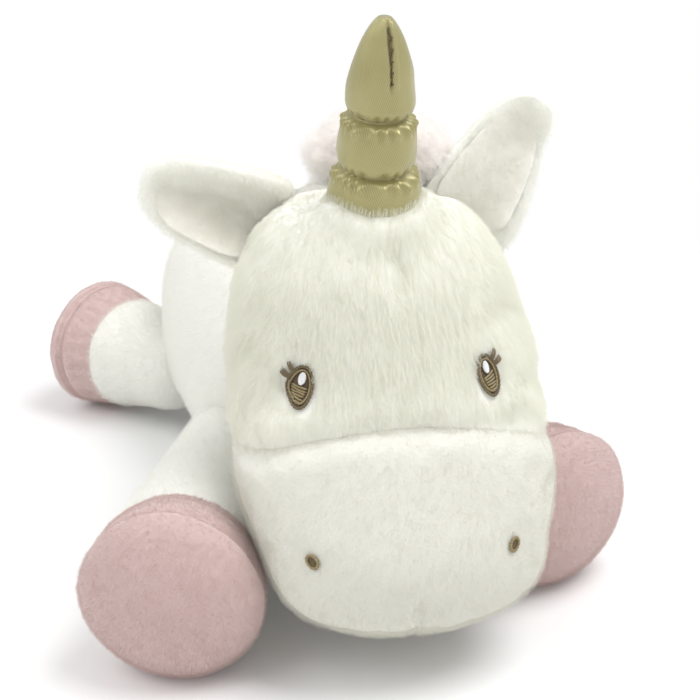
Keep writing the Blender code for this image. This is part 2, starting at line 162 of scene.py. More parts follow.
def middle(*nodes):
    low, high = corners(Matrix(), *nodes)
    return Vector((low + high) / 2)


def through(rows, count):
    """Rows along a smooth curve through a table, rounded over at both ends.

    A row is (along, low, high, half width), and each end row has no width."""
    table = np.array(rows, float)
    table = np.vstack([mirrored(table[1]), table, mirrored(table[-2])])
    last = len(rows) - 1
    found = []
    for at in np.linspace(0.0, last, count):
        index = min(int(at), last - 1)
        t = at - index
        a, b, c, d = table[index:index + 4]
        curve = 2 * b + (c - a) * t + (2 * a - 5 * b + 4 * c - d) * t ** 2 + (3 * b - a - 3 * c + d) * t ** 3
        found.append(curve / 2)
    return np.array(found)


def mirrored(row):
    return np.array([row[0], row[2], row[1], -row[3]])


def oval(count, half_x, half_y, power=2.0):
    """Points around a superellipse."""
    angle = 2.0 * pi * (np.arange(count) + 0.5) / count
    reach = (np.abs(np.cos(angle)) ** power + np.abs(np.sin(angle)) ** power) ** (-1.0 / power)
    return np.column_stack([half_x * reach * np.cos(angle), half_y * reach * np.sin(angle)])


def ramp(value, low, high):
    """A smooth step from 0 at low to 1 at high."""
    share = np.clip((value - low) / (high - low), 0.0, 1.0)
    return share * share * (3.0 - 2.0 * share)


def lumps(points, size, seed=0.0, stretch=(1.0, 1.0, 1.0)):
    """Smooth noise of about -1 to 1 at points; size is the width of a lump."""
    spots = np.asarray(points) / (size * np.array(stretch)) + seed
    return np.array([noise.noise(Vector(spot)) for spot in spots])


def locks(points, place, width, stretch=3.5):
    """Ridges of about -1 to 1 like combed locks, which run along the Z of a frame."""
    here = moved(points, place.inverted())
    broad = np.abs(lumps(here, width, 2.0, (1.0, 1.0, stretch)))
    fine = np.abs(lumps(here, width / 2.0, 7.0, (1.0, 1.0, stretch)))
    return 1.0 - 3.0 * broad - 1.5 * fine


# Meshes


def make_object(name, points, faces):
    mesh = bpy.data.meshes.new(name)
    mesh.from_pydata((np.asarray(points) * MM).tolist(), [], faces)
    bm = bmesh.new()
    bm.from_mesh(mesh)
    bmesh.ops.recalc_face_normals(bm, faces=bm.faces)
    bm.to_mesh(mesh)
    bm.free()
    mesh.shade_smooth()
    made = bpy.data.objects.new(name, mesh)
    bpy.context.scene.collection.objects.link(made)
    return made


def loft(name, rings, place=Matrix()):
    """A closed body through rings of points; the first and the last ring are single points."""
    rings = np.asarray(rings, float)
    rows, around = len(rings) - 2, rings.shape[1]
    points = np.vstack([rings[0][:1], rings[1:-1].reshape(-1, 3), rings[-1][:1]])
    top = 1 + (rows - 1) * around
    faces = []
    for step in range(around):
        after = (step + 1) % around
        faces.append((0, 1 + after, 1 + step))
        faces.append((top + step, top + after, len(points) - 1))
        for row in range(rows - 1):
            base = 1 + row * around
            faces.append((base + step, base + after, base + after + around, base + step + around))
    return make_object(name, moved(points, place), faces)


def read_points(obj):
    found = np.empty(len(obj.data.vertices) * 3, np.float32)
    obj.data.vertices.foreach_get("co", found)
    return found.reshape(-1, 3).astype(float) / MM


def read_normals(obj):
    found = np.empty(len(obj.data.vertices) * 3, np.float32)
    obj.data.vertex_normals.foreach_get("vector", found)
    return found.reshape(-1, 3).astype(float)


def write_points(obj, points):
    obj.data.vertices.foreach_set("co", (np.asarray(points) * MM).astype(np.float32).ravel())
    obj.data.update()


def push(obj, distance):
    """Moves each point along its normal by a distance."""
    distance = np.broadcast_to(distance, len(obj.data.vertices))
    write_points(obj, read_points(obj) + read_normals(obj) * distance[:, None])


def bake(obj):
    """Applies an object's modifiers."""
    graph = bpy.context.evaluated_depsgraph_get()
    old = obj.data
    obj.data = bpy.data.meshes.new_from_object(obj.evaluated_get(graph))
    obj.modifiers.clear()
    bpy.data.meshes.remove(old)


def subdivide(obj, levels=1):
    change = obj.modifiers.new("subdivision", "SUBSURF")
    change.levels = levels
    bake(obj)


def seam_dip(distance, depth=SEAM_DEPTH, width=SEAM_WIDTH):
    """How far the fabric sinks at a distance from a seam."""
    return depth * np.exp(-(distance / width) ** 2)


def inflate(body, swell, seam_distance, pressure=15.0, frames=20):
    """Puffs a stuffed body up by cloth simulation, held along its seams, by at most swell."""
    start, outward = read_points(body), read_normals(body)
    free = ramp(seam_distance(start), 0.0, PIN_WIDTH * 2)
    held = body.vertex_groups.new(name="seams")
    for index in np.flatnonzero(free < 0.5):
        held.add([int(index)], 1.0, "ADD")
    cloth = body.modifiers.new("cloth", "CLOTH")
    cloth.settings.quality = 6
    cloth.settings.mass = 0.3
    cloth.settings.shrink_min = -CLOTH_GROWTH
    cloth.settings.use_pressure = True
    cloth.settings.uniform_pressure_force = pressure
    cloth.settings.vertex_group_mass = held.name
    cloth.settings.effector_weights.gravity = 0.0
    for number in range(1, frames + 1):
        bpy.context.scene.frame_set(number)
    graph = bpy.context.evaluated_depsgraph_get()
    puffed = read_points(body.evaluated_get(graph))
    body.modifiers.remove(cloth)
    body.vertex_groups.clear()
    bpy.context.scene.frame_set(1)
    rise = np.sum((puffed - start) * outward, axis=1)
    rise = np.clip(rise * swell / np.percentile(rise[free > 0.9], FULL_SHARE), -DENT * swell, swell)
    write_points(body, start + outward * rise[:, None])


def panel(name, body, cuts, warp=None, unwarp=None):
    """A sewn panel: the part of a body on the positive side of (point, normal) cuts."""
    bm = bmesh.new()
    bm.from_mesh(body.data)
    if warp:
        warp_points(bm, warp)
    for point, normal in cuts:
        everything = bm.verts[:] + bm.edges[:] + bm.faces[:]
        bmesh.ops.bisect_plane(bm, geom=everything, dist=1e-6, plane_co=Vector(point) * MM,
                               plane_no=Vector(normal), clear_inner=True)
    if unwarp:
        warp_points(bm, unwarp)
    mesh = bpy.data.meshes.new(name)
    bm.to_mesh(mesh)
    bm.free()
    mesh.shade_smooth()
    made = bpy.data.objects.new(name, mesh)
    bpy.context.scene.collection.objects.link(made)
    return made


def warp_points(bm, warp):
    points = np.array([v.co for v in bm.verts], float) / MM
    for vertex, point in zip(bm.verts, warp(points)):
        vertex.co = Vector(point) * MM


def thicken(obj, thickness=SKIN):
    change = obj.modifiers.new("thickness", "SOLIDIFY")
    change.thickness = thickness * MM
    change.offset = -1.0


def strands(name, lines, radius, sides=6):
    """Threads as one mesh: each line is (points, normals), and its strand tapers at both ends."""
    points, faces = [], []
    for line, up in lines:
        line = np.asarray(line, float)
        along = np.gradient(line, axis=0)
        along /= np.linalg.norm(along, axis=1)[:, None]
        out = np.asarray(up, float)
        side = np.cross(along, out)
        side /= np.linalg.norm(side, axis=1)[:, None]
        out = np.cross(side, along)
        start = len(points)
        points.append(line[0])
        for spot, a, b in zip(line[1:-1], side[1:-1], out[1:-1]):
            for angle in np.arange(sides) * 2.0 * pi / sides:
                points.append(spot + radius * (a * cos(angle) + b * sin(angle)))
        points.append(line[-1])
        rows = len(line) - 2
        end = len(points) - 1
        for step in range(sides):
            after = (step + 1) % sides
            first, last = start + 1, start + 1 + (rows - 1) * sides
            faces.append((start, first + after, first + step))
            faces.append((last + step, last + after, end))
            for row in range(rows - 1):
                base = first + row * sides
                faces.append((base + step, base + after, base + after + sides, base + step + sides))
    return make_object(name, points, faces)


# Materials


def new_material(name):
    made = bpy.data.materials.new(name)
    made.use_nodes = True
    return made, made.node_tree.nodes, made.node_tree.links


def add_noise(nodes, links, size, detail=3.0, stretch=None):
    """Noise whose lumps are about size wide, in the piece's own space."""
    place = nodes.new("ShaderNodeTexCoord")
    source = place.outputs["Object"]
    if stretch:
        mapping = nodes.new("ShaderNodeMapping")
        mapping.inputs["Scale"].default_value = stretch
        links.new(source, mapping.inputs["Vector"])
        source = mapping.outputs["Vector"]
    made = nodes.new("ShaderNodeTexNoise")
    made.inputs["Scale"].default_value = 1.0 / (size * MM)
    made.inputs["Detail"].default_value = detail
    links.new(source, made.inputs["Vector"])
    return made.outputs["Fac"]


def mix_colours(nodes, links, share, first, second):
    mix = nodes.new("ShaderNodeMix")
    mix.data_type = "RGBA"
    links.new(share, mix.inputs["Factor"])
    for socket, colour in ((mix.inputs["A"], first), (mix.inputs["B"], second)):
        if isinstance(colour, tuple):
            socket.default_value = (*colour, 1.0)
        else:
            links.new(colour, socket)
    return mix.outputs["Result"]


def sharpen(nodes, links, value, low, high):
    """Stretches the part of a value between low and high over 0 to 1."""
    made = nodes.new("ShaderNodeMapRange")
    made.inputs["From Min"].default_value = low
    made.inputs["From Max"].default_value = high
    links.new(value, made.inputs["Value"])
    return made.outputs["Result"]


def add_bump(nodes, links, height, distance, strength, under=None):
    bump = nodes.new("ShaderNodeBump")
    bump.inputs["Distance"].default_value = distance * MM
    bump.inputs["Strength"].default_value = strength
    links.new(height, bump.inputs["Height"])
    if under:
        links.new(under, bump.inputs["Normal"])
    return bump.outputs["Normal"]


def plush(name, light, dark, pile, streak=1.0, sheen=0.5):
    """Brushed pile: clumps about pile wide, fine fibres between them, and a soft sheen."""
    made, nodes, links = new_material(name)
    shader = nodes["Principled BSDF"]
    clumps = add_noise(nodes, links, pile, 4.0, (1.0, 1.0, streak))
    fibres = add_noise(nodes, links, pile / 5.0, 2.0, (1.0, 1.0, streak))
    broad = add_noise(nodes, links, pile * 9.0, 2.0)
    tone = mix_colours(nodes, links, sharpen(nodes, links, clumps, 0.35, 0.65), dark, light)
    tone = mix_colours(nodes, links, sharpen(nodes, links, broad, 0.2, 0.9), tone, light)
    links.new(tone, shader.inputs["Base Color"])
    shader.inputs["Roughness"].default_value = 1.0
    shader.inputs["Specular IOR Level"].default_value = 0.1
    shader.inputs["Sheen Weight"].default_value = sheen
    shader.inputs["Sheen Roughness"].default_value = 0.5
    normal = add_bump(nodes, links, clumps, pile / 3.0, 0.4)
    normal = add_bump(nodes, links, fibres, pile / 6.0, 0.5, normal)
    links.new(normal, shader.inputs["Normal"])
    return made


def fibre(name, colour, through_light=0.35, spread=0.08):
    """The pile's hairs, a little different from each other and lit through."""
    made, nodes, links = new_material(name)
    nodes.remove(nodes["Principled BSDF"])
    hair = nodes.new("ShaderNodeHairInfo")
    darker = tuple(channel * (1.0 - spread) for channel in colour)
    tone = mix_colours(nodes, links, hair.outputs["Random"], darker, colour)
    solid = nodes.new("ShaderNodeBsdfDiffuse")
    lit = nodes.new("ShaderNodeBsdfTranslucent")
    mix = nodes.new("ShaderNodeMixShader")
    mix.inputs["Fac"].default_value = through_light
    links.new(tone, solid.inputs["Color"])
    links.new(tone, lit.inputs["Color"])
    links.new(solid.outputs["BSDF"], mix.inputs[1])
    links.new(lit.outputs["BSDF"], mix.inputs[2])
    links.new(mix.outputs["Shader"], nodes["Material Output"].inputs["Surface"])
    return made


def satin(name, light, dark):
    """Satin with fine slanted twill ribs and a soft metallic lustre; "ribs" counts them on the mesh."""
    made, nodes, links = new_material(name)
    shader = nodes["Principled BSDF"]
    place = nodes.new("ShaderNodeAttribute")
    place.attribute_name = "ribs"
    wave = nodes.new("ShaderNodeMath")
    wave.operation = "SINE"
    links.new(place.outputs["Fac"], wave.inputs[0])
    ribs = sharpen(nodes, links, wave.outputs["Value"], -1.0, 1.0)
    worn = add_noise(nodes, links, 9.0, 3.0)
    tone = mix_colours(nodes, links, ribs, dark, light)
    tone = mix_colours(nodes, links, sharpen(nodes, links, worn, 0.2, 1.2), tone, light)
    links.new(tone, shader.inputs["Base Color"])
    shader.inputs["Metallic"].default_value = 0.3
    shader.inputs["Roughness"].default_value = 0.34
    shader.inputs["Anisotropic"].default_value = 0.5
    shader.inputs["Sheen Weight"].default_value = 0.35
    shader.inputs["Sheen Roughness"].default_value = 0.35
    links.new(add_bump(nodes, links, ribs, 0.07, 0.5), shader.inputs["Normal"])
    return made


def thread(name, light, dark):
    """Twisted embroidery thread with a soft shine."""
    made, nodes, links = new_material(name)
    shader = nodes["Principled BSDF"]
    twist = add_noise(nodes, links, 0.35, 2.0)
    tone = mix_colours(nodes, links, sharpen(nodes, links, twist, 0.35, 0.65), dark, light)
    links.new(tone, shader.inputs["Base Color"])
    shader.inputs["Roughness"].default_value = 0.42
    shader.inputs["Sheen Weight"].default_value = 0.3
    links.new(add_bump(nodes, links, twist, 0.1, 0.5), shader.inputs["Normal"])
    return made


MATERIALS = {
    "long_white": plush("long_white", (0.93, 0.93, 0.885), (0.88, 0.88, 0.83), 2.0, 0.4),
    "short_white": plush("short_white", (0.90, 0.90, 0.86), (0.86, 0.86, 0.815), 0.9),
    # The muzzle's plush is darker than short_white: partly its greyer short pile, partly painted shade for a muzzle
    # that faces down, away from the light.
    "muzzle_white": plush("muzzle_white", (0.77, 0.765, 0.70), (0.76, 0.755, 0.69), 0.9),
    "pink": plush("pink", (0.66, 0.505, 0.485), (0.63, 0.475, 0.455), 0.6, 1.0, 0.8),
    "lining": plush("lining", (0.94, 0.93, 0.89), (0.91, 0.895, 0.85), 0.8),
    "mane": plush("mane", (0.95, 0.925, 0.905), (0.925, 0.89, 0.87), 3.0, 0.3),
    "white_hair": fibre("white_hair", (0.955, 0.955, 0.915), 0.45, 0.03),
    "face_hair": fibre("face_hair", (0.945, 0.945, 0.88), 0.5, 0.03),
    # Darker than white_hair: partly the greyer short pile, partly painted shade on the muzzle.
    "muzzle_hair": fibre("muzzle_hair", (0.78, 0.775, 0.70), 0.4, 0.02),
    # Brighter than white_hair on the same plush: painted light that lifts the ears out of their shade.
    "ear_hair": fibre("ear_hair", (0.985, 0.985, 0.94), 0.6, 0.02),
    "pink_hair": fibre("pink_hair", (0.72, 0.585, 0.56), spread=0.04),
    "mane_hair": fibre("mane_hair", (0.99, 0.97, 0.955), 0.6, 0.02),
    "lining_hair": fibre("lining_hair", (0.985, 0.975, 0.935), 0.6, 0.02),
    "satin": satin("satin", (0.46, 0.42, 0.20), (0.30, 0.27, 0.11)),
    "gold_thread": thread("gold_thread", (0.50, 0.45, 0.22), (0.30, 0.26, 0.10)),
    "dark_thread": thread("dark_thread", (0.10, 0.06, 0.02), (0.05, 0.03, 0.01)),
    "brown_thread": thread("brown_thread", (0.18, 0.13, 0.055), (0.09, 0.06, 0.022)),
    "tan_thread": thread("tan_thread", (0.36, 0.28, 0.13), (0.21, 0.155, 0.06)),
    "white_thread": thread("white_thread", (0.93, 0.93, 0.93), (0.75, 0.75, 0.78)),
}


def dress(obj, material, slot, body, *nodes):
    """Gives a piece its material, the CAD body it rides on and the nodes it replaces; the record's slot is not
    used.
    """
    obj.data.materials.clear()
    obj.data.materials.append(MATERIALS[material])
    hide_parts(*nodes)
    if body:
        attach(obj, body)
    return obj


def grow_fur(obj, hair, length, count, comb=(0.0, 0.0, 0.0), thickness=0.09, where=None, clump=0.2, tangle=0.7):
    """Covers a piece in pile of a length; comb leans it, and where() gives its share from 0 to 1."""
    obj.data.materials.append(MATERIALS[hair])
    change = obj.modifiers.new("fur", "PARTICLE_SYSTEM")
    pile = change.particle_system
    if where is not None:
        group = obj.vertex_groups.new(name="pile")
        for index, weight in enumerate(where(read_points(obj))):
            group.add([index], float(weight), "ADD")
        pile.vertex_group_density = group.name
        pile.vertex_group_length = group.name
    pile.seed = len(obj.name)
    settings = pile.settings
    settings.type = "HAIR"
    children = 14
    settings.count = int(count / children)
    settings.hair_step = 3
    settings.render_step = 3
    settings.normal_factor = length * MM / 4.0
    settings.object_align_factor = Vector(comb) * (length * MM / 4.0)
    settings.factor_random = length * MM / 4.0 * 0.35
    settings.child_type = "INTERPOLATED"
    settings.rendered_child_count = children
    settings.child_percent = 1
    settings.child_length = 1.0
    settings.clump_factor = clump
    settings.clump_shape = 0.3
    settings.roughness_1 = 0.0006 * tangle
    settings.roughness_1_size = 0.004
    settings.roughness_2 = 0.0009 * tangle
    settings.roughness_2_size = 0.004
    settings.root_radius = 1.0
    settings.tip_radius = 0.25
    settings.radius_scale = thickness * MM / 2.0
    settings.material = len(obj.data.materials)
    settings.use_close_tip = False


# Head


nod_place, nod_axis = joint("head_nod")
HEAD = axes(Vector((nod_place.x, nod_place.y, 0.0)), -nod_axis, UP)


def in_head(points):
    return moved(points, HEAD.inverted())


def cross_seam_height(points):
    """Height of the seam between face and muzzle, which falls towards the cheeks."""
    low, high = corners(HEAD, "muzzle_cover_left", "muzzle_cover_right")
    across = points[:, 0] / high[0]
    return high[2] + CROSS_SEAM_RISE - CROSS_SEAM_DROP * across ** 2


def make_head_body():
    low, high = corners(HEAD, *HEAD_PANELS)
    deep, tall, half = high[1] - low[1], high[2] - low[2], high[0] * FACET
    rings = []
    for height, front, back, width in through(HEAD_ROWS, 64):
        y_front, y_back = low[1] + deep * front, low[1] + deep * back
        widest = y_front + HEAD_WIDEST * (y_back - y_front)
        flat = oval(104, half * width, 1.0, HEAD_POWER)
        y = widest + flat[:, 1] * np.where(flat[:, 1] < 0.0, widest - y_front, y_back - widest)
        x = flat[:, 0] + CHEEK_SHIFT * (1.0 - ramp(height, 0.55, 0.9))
        rings.append(np.column_stack([x, y, np.full(len(flat), low[2] + tall * height)]))
    body = loft("head_body", rings, HEAD)

    def seams(points):
        here = in_head(points)
        return np.minimum(np.abs(here[:, 2] - cross_seam_height(here)), np.abs(here[:, 1] - BACK_SEAM))

    swell = 2.0
    here = in_head(read_points(body))
    above = ramp(here[:, 2] - cross_seam_height(here), -4.0, 4.0)
    push(body, -swell - MUZZLE_INSET - (FACE_INSET - MUZZLE_INSET) * above)
    inflate(body, swell, seams)
    subdivide(body)
    points = read_points(body)
    here = in_head(points)
    chin = np.abs(here[:, 0]) + 40.0 * ramp(here[:, 2], 36.0, 62.0) + 40.0 * ramp(here[:, 1], -70.0, -40.0)
    dip = seam_dip(seams(points), HEAD_SEAM_DEPTH) + seam_dip(chin, 0.9, 1.8)
    eyes = np.hypot(np.abs(here[:, 0]) - EYE_PLACE[0], (here[:, 2] - EYE_PLACE[1]) * 0.7)
    eyes = eyes + 100.0 * ramp(here[:, 1], -60.0, -40.0)
    dip += seam_dip(eyes, 1.3, 7.0)
    nostrils = np.hypot(np.abs(here[:, 0]) - NOSTRIL_PLACE[0], here[:, 2] - NOSTRIL_PLACE[1])
    dip += seam_dip(nostrils + 100.0 * ramp(here[:, 1], -60.0, -40.0), 0.9, 4.5)
    foot = moved(points, horn_frame().inverted())
    dip -= seam_dip(np.hypot(foot[:, 0], foot[:, 1]) - 15.0, HORN_COLLAR, 5.0) * ramp(-foot[:, 1], -8.0, 8.0)
    push(body, lumps(points, 26.0) * 0.5 + lumps(points, 7.0, 5.0) * 0.25 - dip)
    return body


def flatten_cross_seam(points):
    here = in_head(points)
    here[:, 2] -= cross_seam_height(here)
    return here


def restore_cross_seam(points):
    points = points.copy()
    points[:, 2] += cross_seam_height(points)
    return moved(points, HEAD)


def away_from(places, radius):
    """A fur density that is 0 on the embroidery and 1 away from it."""
    def density(points):
        here = in_head(points)
        found = np.ones(len(here))
        for (x, z), (half_x, half_z) in places:
            rise = (here[:, 2] - z - radius) / (half_z + 1.5 * radius)
            off = np.hypot((np.abs(here[:, 0]) - x) / (half_x + radius), rise)
            found = np.minimum(found, ramp(off, 0.85, 1.1))
        off_seam = here[:, 2] - cross_seam_height(here)
        return found * (0.7 + 0.3 * ramp(np.abs(off_seam), 0.0, 9.0))
    return density


def round_horn_foot(points):
    """A fur density that is 1 just round the foot of the horn."""
    foot = moved(points, horn_frame().inverted())
    off = np.hypot(foot[:, 0], foot[:, 1])
    return ramp(off, 9.0, 12.0) * (1.0 - ramp(off, 15.5, 18.0)) * ramp(foot[:, 2], -30.0, -25.0)


def make_head():
    body = make_head_body()
    above, below = (0.0, 0.0, 1.0), (0.0, 0.0, -1.0)
    ahead, behind = (0.0, -1.0, 0.0), (0.0, 1.0, 0.0)
    seam_line = (0.0, BACK_SEAM, 0.0)
    cuts = {
        "face_skin": [((0, 0, 0.02), above), (seam_line, ahead)],
        "muzzle_skin": [((0, 0, -0.02), below), (seam_line, ahead)],
        "head_back_skin": [((0.0, BACK_SEAM + 0.04, 0.0), behind)],
    }
    made = {}
    for name, planes in cuts.items():
        made[name] = panel(name, body, planes, flatten_cross_seam, restore_cross_seam)
    bpy.data.objects.remove(body)
    face, muzzle, back = made.values()
    dress(face, "long_white", "plush_long_white", "head", "face_panel", "head_stuffing")
    # The muzzle's plush and hair colours hold painted shade as well as the tone of their greyer short pile.
    dress(muzzle, "muzzle_white", "plush_short_white", "head", "muzzle_cover_left", "muzzle_cover_right")
    dress(back, "short_white", "plush_short_white", "head", "head_back_panel")
    grow_fur(face, "face_hair", 2.5, 230000, (0.0, -0.1, -1.1), 0.06,
             away_from([(EYE_PLACE, EYE_SIZE), (LASH_PLACE, LASH_SIZE)], 0.8), 0.12, 0.45)
    grow_fur(face, "face_hair", 1.9, 14000, (0.0, -0.3, 0.5), 0.06, round_horn_foot, 0.1, 0.6)
    grow_fur(muzzle, "muzzle_hair", 1.2, 150000, (0.0, 0.0, -0.5), 0.065,
             away_from([(NOSTRIL_PLACE, NOSTRIL_SIZE)], 0.1), 0.0, 0.2)
    grow_fur(back, "white_hair", 2.2, 60000, (0.0, 0.1, -0.8))
    for piece in made.values():
        thicken(piece)
    return face, muzzle


class FaceSkin:
    """Finds points on the finished face from (sideways, height) in the head's frame."""

    def __init__(self, *pieces):
        self.trees = []
        for piece in pieces:
            bm = bmesh.new()
            bm.from_mesh(piece.data)
            self.trees.append(BVHTree.FromBMesh(bm))
            bm.free()

    def point(self, x, z, lift):
        start = HEAD @ Vector((x, -200.0, z))
        run = HEAD.to_3x3() @ Vector((0.0, 1.0, 0.0))
        hits = [tree.ray_cast(start * MM, run) for tree in self.trees]
        spot, normal, _, _ = min((hit for hit in hits if hit[0]), key=lambda hit: hit[3])
        return np.array(spot / MM + normal * lift), np.array(normal)


def stitch(skin, flat_points, low, high):
    """A thread over the face through flat points; it rises from low to high between its ends."""
    count = len(flat_points)
    spots, normals = [], []
    for step, (x, z) in enumerate(flat_points):
        lift = low + (high - low) * min(1.0, 2.5 * min(step, count - 1 - step) / (count - 1))
        spot, normal = skin.point(x, z, lift)
        spots.append(spot)
        normals.append(normal)
    return spots, normals


def leaning(centre, side, u, v, lean=EYE_LEAN):
    """A point of an eye or a nostril, whose top leans towards the middle of the face."""
    x = centre[0] + u * cos(lean) - v * sin(lean)
    return side * x, centre[1] + u * sin(lean) + v * cos(lean)


def ring_stitches(skin, side, centre, half, reach, count, lift, slant=0.12, lean=EYE_LEAN):
    """Short overlapping stitches that follow an ellipse."""
    lines = []
    step = 2.0 * pi / count
    for index in range(count):
        flat = []
        for part in np.linspace(-0.85, 0.85, 6):
            angle = (index + part) * step
            out = reach * (1.0 + slant * part * 0.5)
            flat.append(leaning(centre, side, half[0] * out * cos(angle), half[1] * out * sin(angle), lean))
        lines.append(stitch(skin, flat, lift - 0.35, lift))
    return lines


def rung_stitches(skin, side, centre, half, low, high, pitch, lift, wander=0.0, lean=EYE_LEAN):
    """Level stitches across an ellipse between two heights, as shares of its half height."""
    lines = []
    count = int((high - low) * half[1] / pitch) + 1
    for index in range(count):
        v = low * half[1] + pitch * index
        width = half[0] * max(1.0 - (v / half[1]) ** 2, 0.0) ** 0.5
        shift = wander * noise.noise(Vector((index * 3.7, side, 0.0)))
        sag = 0.35 * wander
        flat = [leaning(centre, side, u * width, v + shift * u + sag * u * u, lean)
                for u in np.linspace(-1.0, 1.0, 7)]
        lines.append(stitch(skin, flat, lift - 0.3, lift))
    return lines


def lash_stitches(skin, side, root, angle, length, blunt):
    """One lash as stitches side by side, from a root on the outline; blunt is its width at its end."""
    lines = []
    for shift in (-0.5, 0.0, 0.5):
        flat = []
        for along in np.linspace(-0.35, 1.0, 7):
            spread = shift * (1.0 + (blunt - 1.0) * max(along, 0.0))
            u = root[0] + cos(angle) * length * along - sin(angle) * spread
            v = root[1] + sin(angle) * length * along + cos(angle) * spread
            flat.append(leaning(EYE_PLACE, side, u, v))
        lines.append(stitch(skin, flat, 0.5, 1.5))
    return lines


def make_eye(skin, side_name, side):
    centre, half = EYE_PLACE, EYE_SIZE
    outline = ring_stitches(skin, side, centre, half, 0.95, 30, 1.0)
    outline += lash_stitches(skin, side, (half[0] * 0.80, half[1] * 0.55), radians(44.0), 3.3, 0.5)
    outline += lash_stitches(skin, side, (half[0] * 0.95, half[1] * 0.28), radians(14.0), 3.1, 1.2)
    inner = ring_stitches(skin, side, centre, half, 0.76, 24, 0.95)
    rungs = rung_stitches(skin, side, centre, (half[0] * 0.68, half[1] * 0.76), -0.95, 0.10, 0.9, 1.05, 0.8)
    ground = rung_stitches(skin, side, centre, (half[0] * 0.88, half[1] * 0.9), -0.97, 0.97, 0.42, 0.6)
    glint_centre = leaning(centre, 1.0, -0.1, 2.5)
    glint = rung_stitches(skin, side, glint_centre, (1.25, 2.0), -0.9, 0.9, 0.36, 1.4)
    pieces = (
        (strands("eye_outline_" + side_name + "_threads", outline, 0.40), "brown_thread", "thread_brown",
         ("eye_outline_" + side_name,)),
        (strands("eye_inner_ring_" + side_name, inner, 0.32), "tan_thread", "thread_tan", ()),
        (strands("eye_rungs_" + side_name, rungs, 0.34), "tan_thread", "thread_tan", ("eye_iris_" + side_name,)),
        (strands("eye_ground_" + side_name, ground, 0.30), "dark_thread", "thread_brown", ()),
        (strands("eye_glint_" + side_name, glint, 0.26), "white_thread", "thread_white",
         ("eye_highlight_" + side_name,)),
    )
    for piece, material, slot, nodes in pieces:
        dress(piece, material, slot, "head", *nodes)


def make_nostril(skin, side_name, side):
    dark = rung_stitches(skin, side, NOSTRIL_PLACE, NOSTRIL_SIZE, -0.95, 0.95, 0.4, 0.55, 0.0, NOSTRIL_LEAN)
    rim = ring_stitches(skin, side, NOSTRIL_PLACE, NOSTRIL_SIZE, 0.95, 13, 0.85, 0.4, NOSTRIL_LEAN)
    dress(strands("nostril_" + side_name + "_threads", rim, 0.42), "tan_thread", "thread_tan", "head",
          "nostril_" + side_name)
    dress(strands("nostril_ground_" + side_name, dark, 0.3), "brown_thread", "thread_tan", "head")


# Horn


HORN_AROUND = 168
SLIT_ANGLE = radians(-85.0)


def horn_frame():
    place, axis = joint("horn_bend")
    return axes(place, axis, middle("horn_thread_upper", "horn_thread_lower") - place)


def puff(z, low, high, low_radius, high_radius, bulge):
    """Radius of a stuffed segment between two gathers."""
    share = np.clip((z - low) / (high - low), 0.0, 1.0)
    crown = np.clip(1.0 - np.abs(2.0 * share - 1.0) ** 2.6, 0.0, 1.0) ** 0.5
    return low_radius + (high_radius - low_radius) * share + bulge * crown


def horn_radius(z, lower, upper, tip):
    """The horn's outline: a base, a middle segment and a pointed top between its gathers."""
    if z < lower:
        return float(puff(z, -16.0, lower, 11.0, 10.6, 4.6))
    if z < upper:
        return float(puff(z, lower, upper, 10.4, 9.2, 2.7))
    share = (z - upper) / (tip - upper)
    taper = max(1.0 - max(share - 0.05, 0.0) ** 2.1, 0.0) ** 0.72
    tuck = 1.0 - min(share / 0.16, 1.0)
    return (10.9 - 2.1 * tuck ** 2.2) * taper


def pucker(angle, z, gathers):
    """Folds of the gathered satin: deep just below each thread, shallow above it."""
    total = np.zeros_like(angle)
    for index, gather in enumerate(gathers):
        below, above = gather - z, z - gather
        wander = 1.4 * np.sin(angle * 2.0 + index) + 0.9 * np.sin(angle * 5.0 + 2.0 * index)
        folds = 0.5 + 0.5 * np.cos(angle * 19.0 + 1.6 * wander)
        uneven = 0.65 + 0.35 * np.sin(angle * 5.0 + 1.3 * index)
        total += 1.5 * uneven * folds ** 1.4 * np.exp(-((below - 1.9 - 0.5 * uneven) / 1.4) ** 2)
        total -= 0.9 * (1.0 - folds) * np.exp(-((below - 2.2) / 1.7) ** 2)
        total -= 1.0 * folds ** 2 * np.exp(-((above - 1.5) / 1.2) ** 2)
        total -= 1.3 * np.exp(-(above / 0.8) ** 2)
    return total


def make_horn():
    place = horn_frame()
    lower = place.inverted() @ middle("horn_thread_lower")
    upper = place.inverted() @ middle("horn_thread_upper")
    low, high = corners(place, "horn_cover")
    tip = high[2] + 0.5
    angle = 2.0 * pi * (np.arange(HORN_AROUND) + 0.5) / HORN_AROUND
    rings = []
    crown = 4.0
    levels = np.linspace(-13.0, tip - crown, 150)
    levels = np.concatenate([levels, tip - crown * (1.0 - np.linspace(0.0, 1.0, 14)[1:]) ** 2])
    for z in levels:
        radius = horn_radius(z, lower.z, upper.z, tip) + pucker(angle, z, (lower.z, upper.z))
        off = (angle - SLIT_ANGLE + pi) % (2.0 * pi) - pi
        across = off * radius
        inside = ramp(z, tip - 21.0, tip - 17.0)
        radius = radius - inside * 0.9 * np.exp(-(across / 0.55) ** 2)
        radius = radius + inside * 0.55 * np.exp(-((across - 1.3) / 0.9) ** 2)
        radius = np.maximum(radius, 0.01)
        rings.append(np.column_stack([radius * np.cos(angle), radius * np.sin(angle), np.full(len(angle), z)]))
    rings[0][:] = (0.0, 0.0, -13.0)
    rings[-1][:] = (0.0, 0.0, tip)
    horn = loft("horn_skin", rings, place)
    points = read_points(horn)
    push(horn, lumps(points, 9.0) * 0.35 + lumps(points, 3.5, 3.0, (1.0, 1.0, 2.0)) * 0.12)
    count_ribs(horn, moved(points, place.inverted()))
    dress(horn, "satin", "satin_gold", "horn", "horn_cover", "horn_stuffing")
    make_horn_threads(place, lower.z, upper.z, tip)


